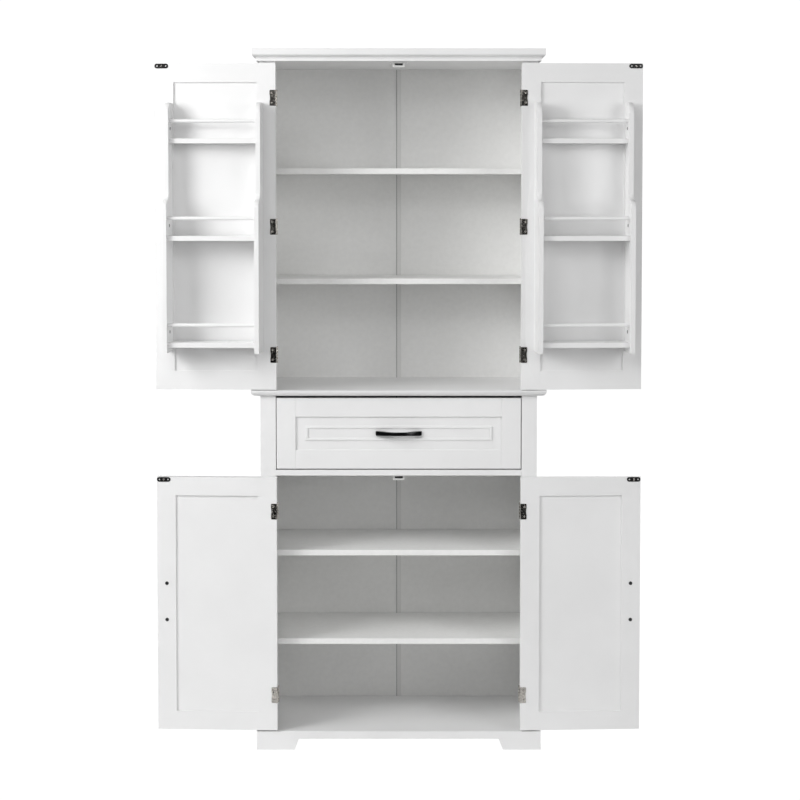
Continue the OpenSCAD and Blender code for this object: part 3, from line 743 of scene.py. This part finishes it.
class PANTRY_OT_outside(bpy.types.Operator):
    """Lacquer the face frame, crown, ledge, plinth and doors"""

    bl_idname = "pantry.outside"
    bl_label = "Lacquer Outside"

    def execute(self, context):
        sizes = context.scene.pantry_sizes
        boards = ["upper_stiles", "lower_stiles", "crown_board", "crown_moulding", "top_panel",
                  "ledge_board", "divider_board", "bottom_panel", "plinth"]
        finish_nodes(boards, "lacquer", sizes.board_edge)
        finish_nodes(door_names("door_frame"), "lacquer", sizes.joint_edge)
        finish_nodes(door_names("door_panel"), "lacquer")
        return {"FINISHED"}


class PANTRY_OT_inside(bpy.types.Operator):
    """Coat the sides, backs and shelves, and fit the joint strips"""

    bl_idname = "pantry.inside"
    bl_label = "Coat Inside"

    def execute(self, context):
        sizes = context.scene.pantry_sizes
        finish_nodes(["upper_sides", "lower_sides", "shelves", "runner_cleats"], "inside",
                     sizes.board_edge)
        finish_node("back_panels", "inside")
        finish_node("back_joint_strips", "strip", sizes.metal_edge)
        return {"FINISHED"}


class PANTRY_OT_racks(bpy.types.Operator):
    """Lacquer the spice racks on the upper doors"""

    bl_idname = "pantry.racks"
    bl_label = "Lacquer Racks"

    def execute(self, context):
        sizes = context.scene.pantry_sizes
        finish_nodes(door_names("rack_sides", ("upper",)), "lacquer", sizes.board_edge)
        finish_nodes(door_names("rack_shelves", ("upper",)), "lacquer", sizes.board_edge)
        finish_nodes(door_names("rack_rails", ("upper",)), "lacquer")
        return {"FINISHED"}


class PANTRY_OT_drawer(bpy.types.Operator):
    """Finish the drawer's front, bead, box and runners"""

    bl_idname = "pantry.drawer"
    bl_label = "Finish Drawer"

    def execute(self, context):
        sizes = context.scene.pantry_sizes
        finish_node("drawer_front_frame", "lacquer", sizes.joint_edge)
        finish_node("drawer_front_panel", "lacquer")
        finish_node("drawer_front_bead", "lacquer")
        finish_nodes(["drawer_box_walls", "drawer_bottom"], "drawer_box", sizes.joint_edge)
        finish_nodes(["drawer_runners", "fixed_runners"], "steel", sizes.metal_edge)
        return {"FINISHED"}


class PANTRY_OT_hinges(bpy.types.Operator):
    """Plate the hinge leaves and pins"""

    bl_idname = "pantry.hinges"
    bl_label = "Plate Hinges"

    def execute(self, context):
        sizes = context.scene.pantry_sizes
        finish_nodes(["frame_hinge_leaves"] + door_names("hinge_leaves"), "nickel",
                     sizes.metal_edge)
        finish_node("hinge_pins", "nickel")
        return {"FINISHED"}


class PANTRY_OT_catches(bpy.types.Operator):
    """Finish the magnetic catches and their strike plates"""

    bl_idname = "pantry.catches"
    bl_label = "Finish Catches"

    def execute(self, context):
        sizes = context.scene.pantry_sizes
        finish_node("catch_housings", "catch", sizes.joint_edge)
        finish_node("catch_magnets", "magnet", sizes.metal_edge)
        finish_nodes(door_names("strike_plate"), "strike", sizes.metal_edge)
        return {"FINISHED"}


class PANTRY_OT_screws(bpy.types.Operator):
    """Fit domed screws and turned shelf pins"""

    bl_idname = "pantry.screws"
    bl_label = "Fit Screws"

    def execute(self, context):
        for level in LEVELS:
            for side in SIDES:
                outward = open_direction(level, side)
                directions = (outward, UP.cross(outward))
                make_screws(f"{level}_{side}_heads", f"{level}_{side}_screws",
                            f"{level}_{side}_door", directions, finish_by_size)
        flat = (RIGHT, FRONT)
        make_screws("frame_heads", "frame_screws", "carcass", flat, always_nickel)
        make_screws("drawer_heads", "drawer_screws", "drawer", flat, always_black)
        make_shelf_pins()
        return {"FINISHED"}


class PANTRY_OT_pulls(bpy.types.Operator):
    """Shape the bow pulls"""

    bl_idname = "pantry.pulls"
    bl_label = "Shape Pulls"

    def execute(self, context):
        for level in LEVELS:
            for side in SIDES:
                make_pull(f"{level}_{side}_pull", f"{level}_{side}_door", UP,
                          open_direction(level, side))
        make_pull("drawer_pull", "drawer", RIGHT, FRONT)
        return {"FINISHED"}


class PANTRY_OT_stage(bpy.types.Operator):
    """Set up the floor, lights and camera"""

    bl_idname = "pantry.stage"
    bl_label = "Set Up Studio"

    def execute(self, context):
        make_floor()
        make_world()
        for name, settings in LIGHTS.items():
            add_area_light(name, *settings)
        make_camera()
        bpy.context.scene.view_settings.view_transform = "Standard"
        return {"FINISHED"}


STEPS = (PANTRY_OT_materials, PANTRY_OT_outside, PANTRY_OT_inside, PANTRY_OT_racks,
         PANTRY_OT_drawer, PANTRY_OT_hinges, PANTRY_OT_catches, PANTRY_OT_screws,
         PANTRY_OT_pulls, PANTRY_OT_stage)


class PANTRY_PT_panel(bpy.types.Panel):
    """The steps and settings of the pantry cabinet"""

    bl_idname = "PANTRY_PT_panel"
    bl_label = "Pantry Cabinet"
    bl_space_type = "VIEW_3D"
    bl_region_type = "UI"
    bl_category = "Pantry"

    def draw(self, context):
        layout = self.layout
        for step in STEPS:
            layout.operator(step.bl_idname)
        for group in (context.scene.pantry_colours, context.scene.pantry_sizes):
            box = layout.box()
            for name in group.__annotations__:
                box.prop(group, name)


CLASSES = (PantryColours, PantrySizes) + STEPS + (PANTRY_PT_panel,)


def register():
    for item in CLASSES:
        bpy.utils.register_class(item)
    bpy.types.Scene.pantry_colours = bpy.props.PointerProperty(type=PantryColours)
    bpy.types.Scene.pantry_sizes = bpy.props.PointerProperty(type=PantrySizes)


def unregister():
    del bpy.types.Scene.pantry_sizes
    del bpy.types.Scene.pantry_colours
    for item in reversed(CLASSES):
        bpy.utils.unregister_class(item)


def main():
    register()
    for step in STEPS:
        name = step.bl_idname.split(".")[1]
        if getattr(bpy.ops.pantry, name)() != {"FINISHED"}:
            raise RuntimeError(f"the step {name} didn't finish")


if __name__ == "__main__":
    main()
